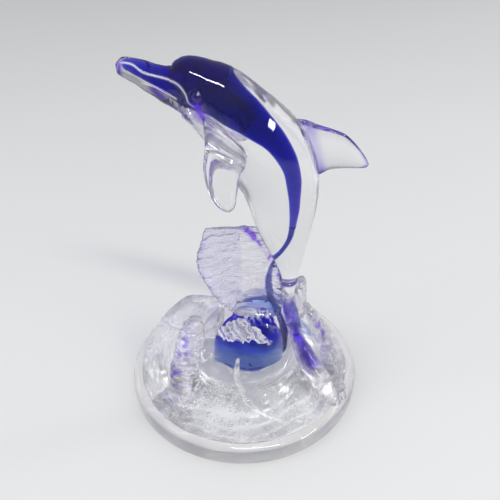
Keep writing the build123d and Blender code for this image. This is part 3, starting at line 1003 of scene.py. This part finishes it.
finished(make_foot(), clear, "clear_glass", "foot")
finished(make_body(), clear, "clear_glass", "dolphin_body")
finished(make_dorsal(), clear, "clear_glass", "dorsal_fin")
pectoral = make_pectoral()
finished(mirrored(pectoral, "pectoral_fin_right"), clear, "clear_glass", "pectoral_fin_right")
finished(pectoral, clear, "clear_glass", "pectoral_fin_left")
finished(make_stock(), clear, "clear_glass", "tail_stock")
fluke = make_fluke()
far_fluke = mirrored(fluke, "tail_fluke_right")
fluke_line = [(21.5, -4.5, 44), (23.5, -6, 37), (26, -8, 29), (28.5, -10, 22), (31, -11.5, 16.5)]
paint(fluke, "violet", band(fluke_line, 2.8))
paint(fluke, "cobalt", band(fluke_line[1:4], 2.6))
paint(far_fluke, "violet", band([(22.0, 3.0, 42), (25.4, 4.6, 35), (27.0, 6.0, 30)], 3.2))
paint(far_fluke, "azure", band([(29.0, 7, 26), (31.5, 9, 21), (34.0, 11, 15)], 3.4))
finished(far_fluke, clear, "clear_glass", "tail_fluke_right")
finished(fluke, clear, "clear_glass", "tail_fluke_left")
finished(make_mound(), clear, "clear_glass", "wave_mound")
finished(make_front_rib(), clear, "clear_glass", "wave_front_rib")
finished(make_right_fold(), clear, "clear_glass", "wave_right_fold")

finished(make_core(), cobalt, "cobalt_glass", "dolphin_core")
finished(make_ribbon(), cobalt_thread, "cobalt_glass", "core_ribbon")
finished(make_heart(), cobalt_thin, "cobalt_glass", "wave_heart")

for make, node in [
    (make_tall_crest, "wave_tall_crest"),
    (make_left_crest, "wave_left_crest"),
    (make_left_ridge, "wave_left_ridge"),
    (make_front_curl, "wave_front_curl"),
    (make_right_crest, "wave_right_crest"),
    (make_back_crest, "wave_back_crest"),
]:
    finished(make(), chilled, "frosted_glass", node)


# ---- floor, light and camera -----------------------------------------------


def make_floor():
    """A plain pale floor."""
    reach = 3.0
    mesh = bpy.data.meshes.new("floor")
    corners = [(x * reach, y * reach, FLOOR) for x, y in [(-1, -1), (1, -1), (1, 1), (-1, 1)]]
    mesh.from_pydata(corners, [], [(0, 1, 2, 3)])
    floor = bpy.data.objects.new("floor", mesh)
    bpy.context.scene.collection.objects.link(floor)
    material, tree, principled, _ = shader("floor_paper")
    shade = noise_field(tree, 4.0)      # broad, faint clouds of tone
    ramp = tree.nodes.new("ShaderNodeValToRGB")
    ramp.color_ramp.elements[0].color = (0.77, 0.765, 0.75, 1)
    ramp.color_ramp.elements[1].color = (0.81, 0.805, 0.79, 1)
    tree.links.new(shade.outputs["Fac"], ramp.inputs["Fac"])
    tree.links.new(ramp.outputs["Color"], principled.inputs["Base Color"])
    principled.inputs["Roughness"].default_value = 0.8
    mesh.materials.append(material)


def soft_light(name, place, target, along, length, width, watts):
    """A rectangular light that faces the target with its long side lying along a direction."""
    data = bpy.data.lights.new(name, "AREA")
    data.shape = "RECTANGLE"
    data.size = length
    data.size_y = width
    data.energy = watts
    light = bpy.data.objects.new(name, data)
    light.location = place
    away = (Vector(place) - Vector(target)).normalized()
    across = away.cross(Vector(along)).normalized()
    light.rotation_euler = Matrix((across.cross(away), across, away)).transposed().to_euler()
    bpy.context.scene.collection.objects.link(light)
    return light


def make_light():
    """A ceiling strip, a window of three panes, two lights that stay out of reflections, and a room."""
    middle = (0.0, 0.0, 0.08)
    pane_step = 0.022
    soft_light("ceiling_strip", (0.2, -0.6, 1.25), middle, (0.93, -0.36, 0.0), 0.86, 0.11, 8.0)
    for pane in (-1, 0, 1):
        place = (1.03 + pane_step * pane, -0.62, 0.72 - pane_step * pane)
        soft_light(f"window_{pane + 2}", place, middle, (0.33, 0.88, 0.33), 0.45, 0.024, 1.2)
    fill = soft_light("left_fill", (-1.0, -0.3, 0.7), middle, (0.0, 1.0, 0.0), 0.8, 0.8, 5.0)
    fill.visible_glossy = False
    rim = soft_light("right_rim", (1.0, 0.35, 0.7), middle, (0.0, 0.0, 1.0), 0.9, 0.15, 3.0)
    rim.visible_glossy = False
    world = bpy.data.worlds.new("room")
    bpy.context.scene.world = world
    world.use_nodes = True
    tree = world.node_tree
    backdrop = tree.nodes["Background"]
    place = tree.nodes.new("ShaderNodeTexCoord")
    split = tree.nodes.new("ShaderNodeSeparateXYZ")
    shade = tree.nodes.new("ShaderNodeValToRGB")
    shade.color_ramp.elements[0].position = 0.0
    shade.color_ramp.elements[0].color = (0.52, 0.52, 0.54, 1)
    shade.color_ramp.elements[1].position = 0.6
    shade.color_ramp.elements[1].color = (0.55, 0.58, 0.64, 1)
    tree.links.new(place.outputs["Generated"], split.inputs["Vector"])
    tree.links.new(split.outputs["Z"], shade.inputs["Fac"])
    tree.links.new(shade.outputs["Color"], backdrop.inputs["Color"])
    backdrop.inputs["Strength"].default_value = 0.6


def make_camera():
    """The viewing angle of someone standing over the table, a little rolled."""
    place = np.array((3.8, -227.2, 244.9))
    lens_to_sensor = 1.32
    looking_down, rolled = 36.7, -0.94
    data = bpy.data.cameras.new("camera")
    data.sensor_width = 36.0
    data.lens = lens_to_sensor * data.sensor_width
    camera = bpy.data.objects.new("camera", data)
    camera.location = place * MM
    pitch, roll = math.radians(90 - looking_down), math.radians(rolled)
    camera.rotation_mode = "XYZ"
    turn = Matrix.Rotation(pitch, 3, "X") @ Matrix.Rotation(roll, 3, "Z")
    camera.rotation_euler = turn.to_euler()
    data.clip_start = 0.01
    bpy.context.scene.collection.objects.link(camera)
    bpy.context.scene.camera = camera


make_floor()
make_light()
make_camera()

scene = bpy.context.scene
scene.view_settings.view_transform = "Standard"
scene.cycles.caustics_refractive = False
scene.cycles.caustics_reflective = False
scene.cycles.max_bounces = BOUNCES
scene.cycles.glossy_bounces = BOUNCES
scene.cycles.transmission_bounces = BOUNCES
scene.cycles.transparent_max_bounces = 24
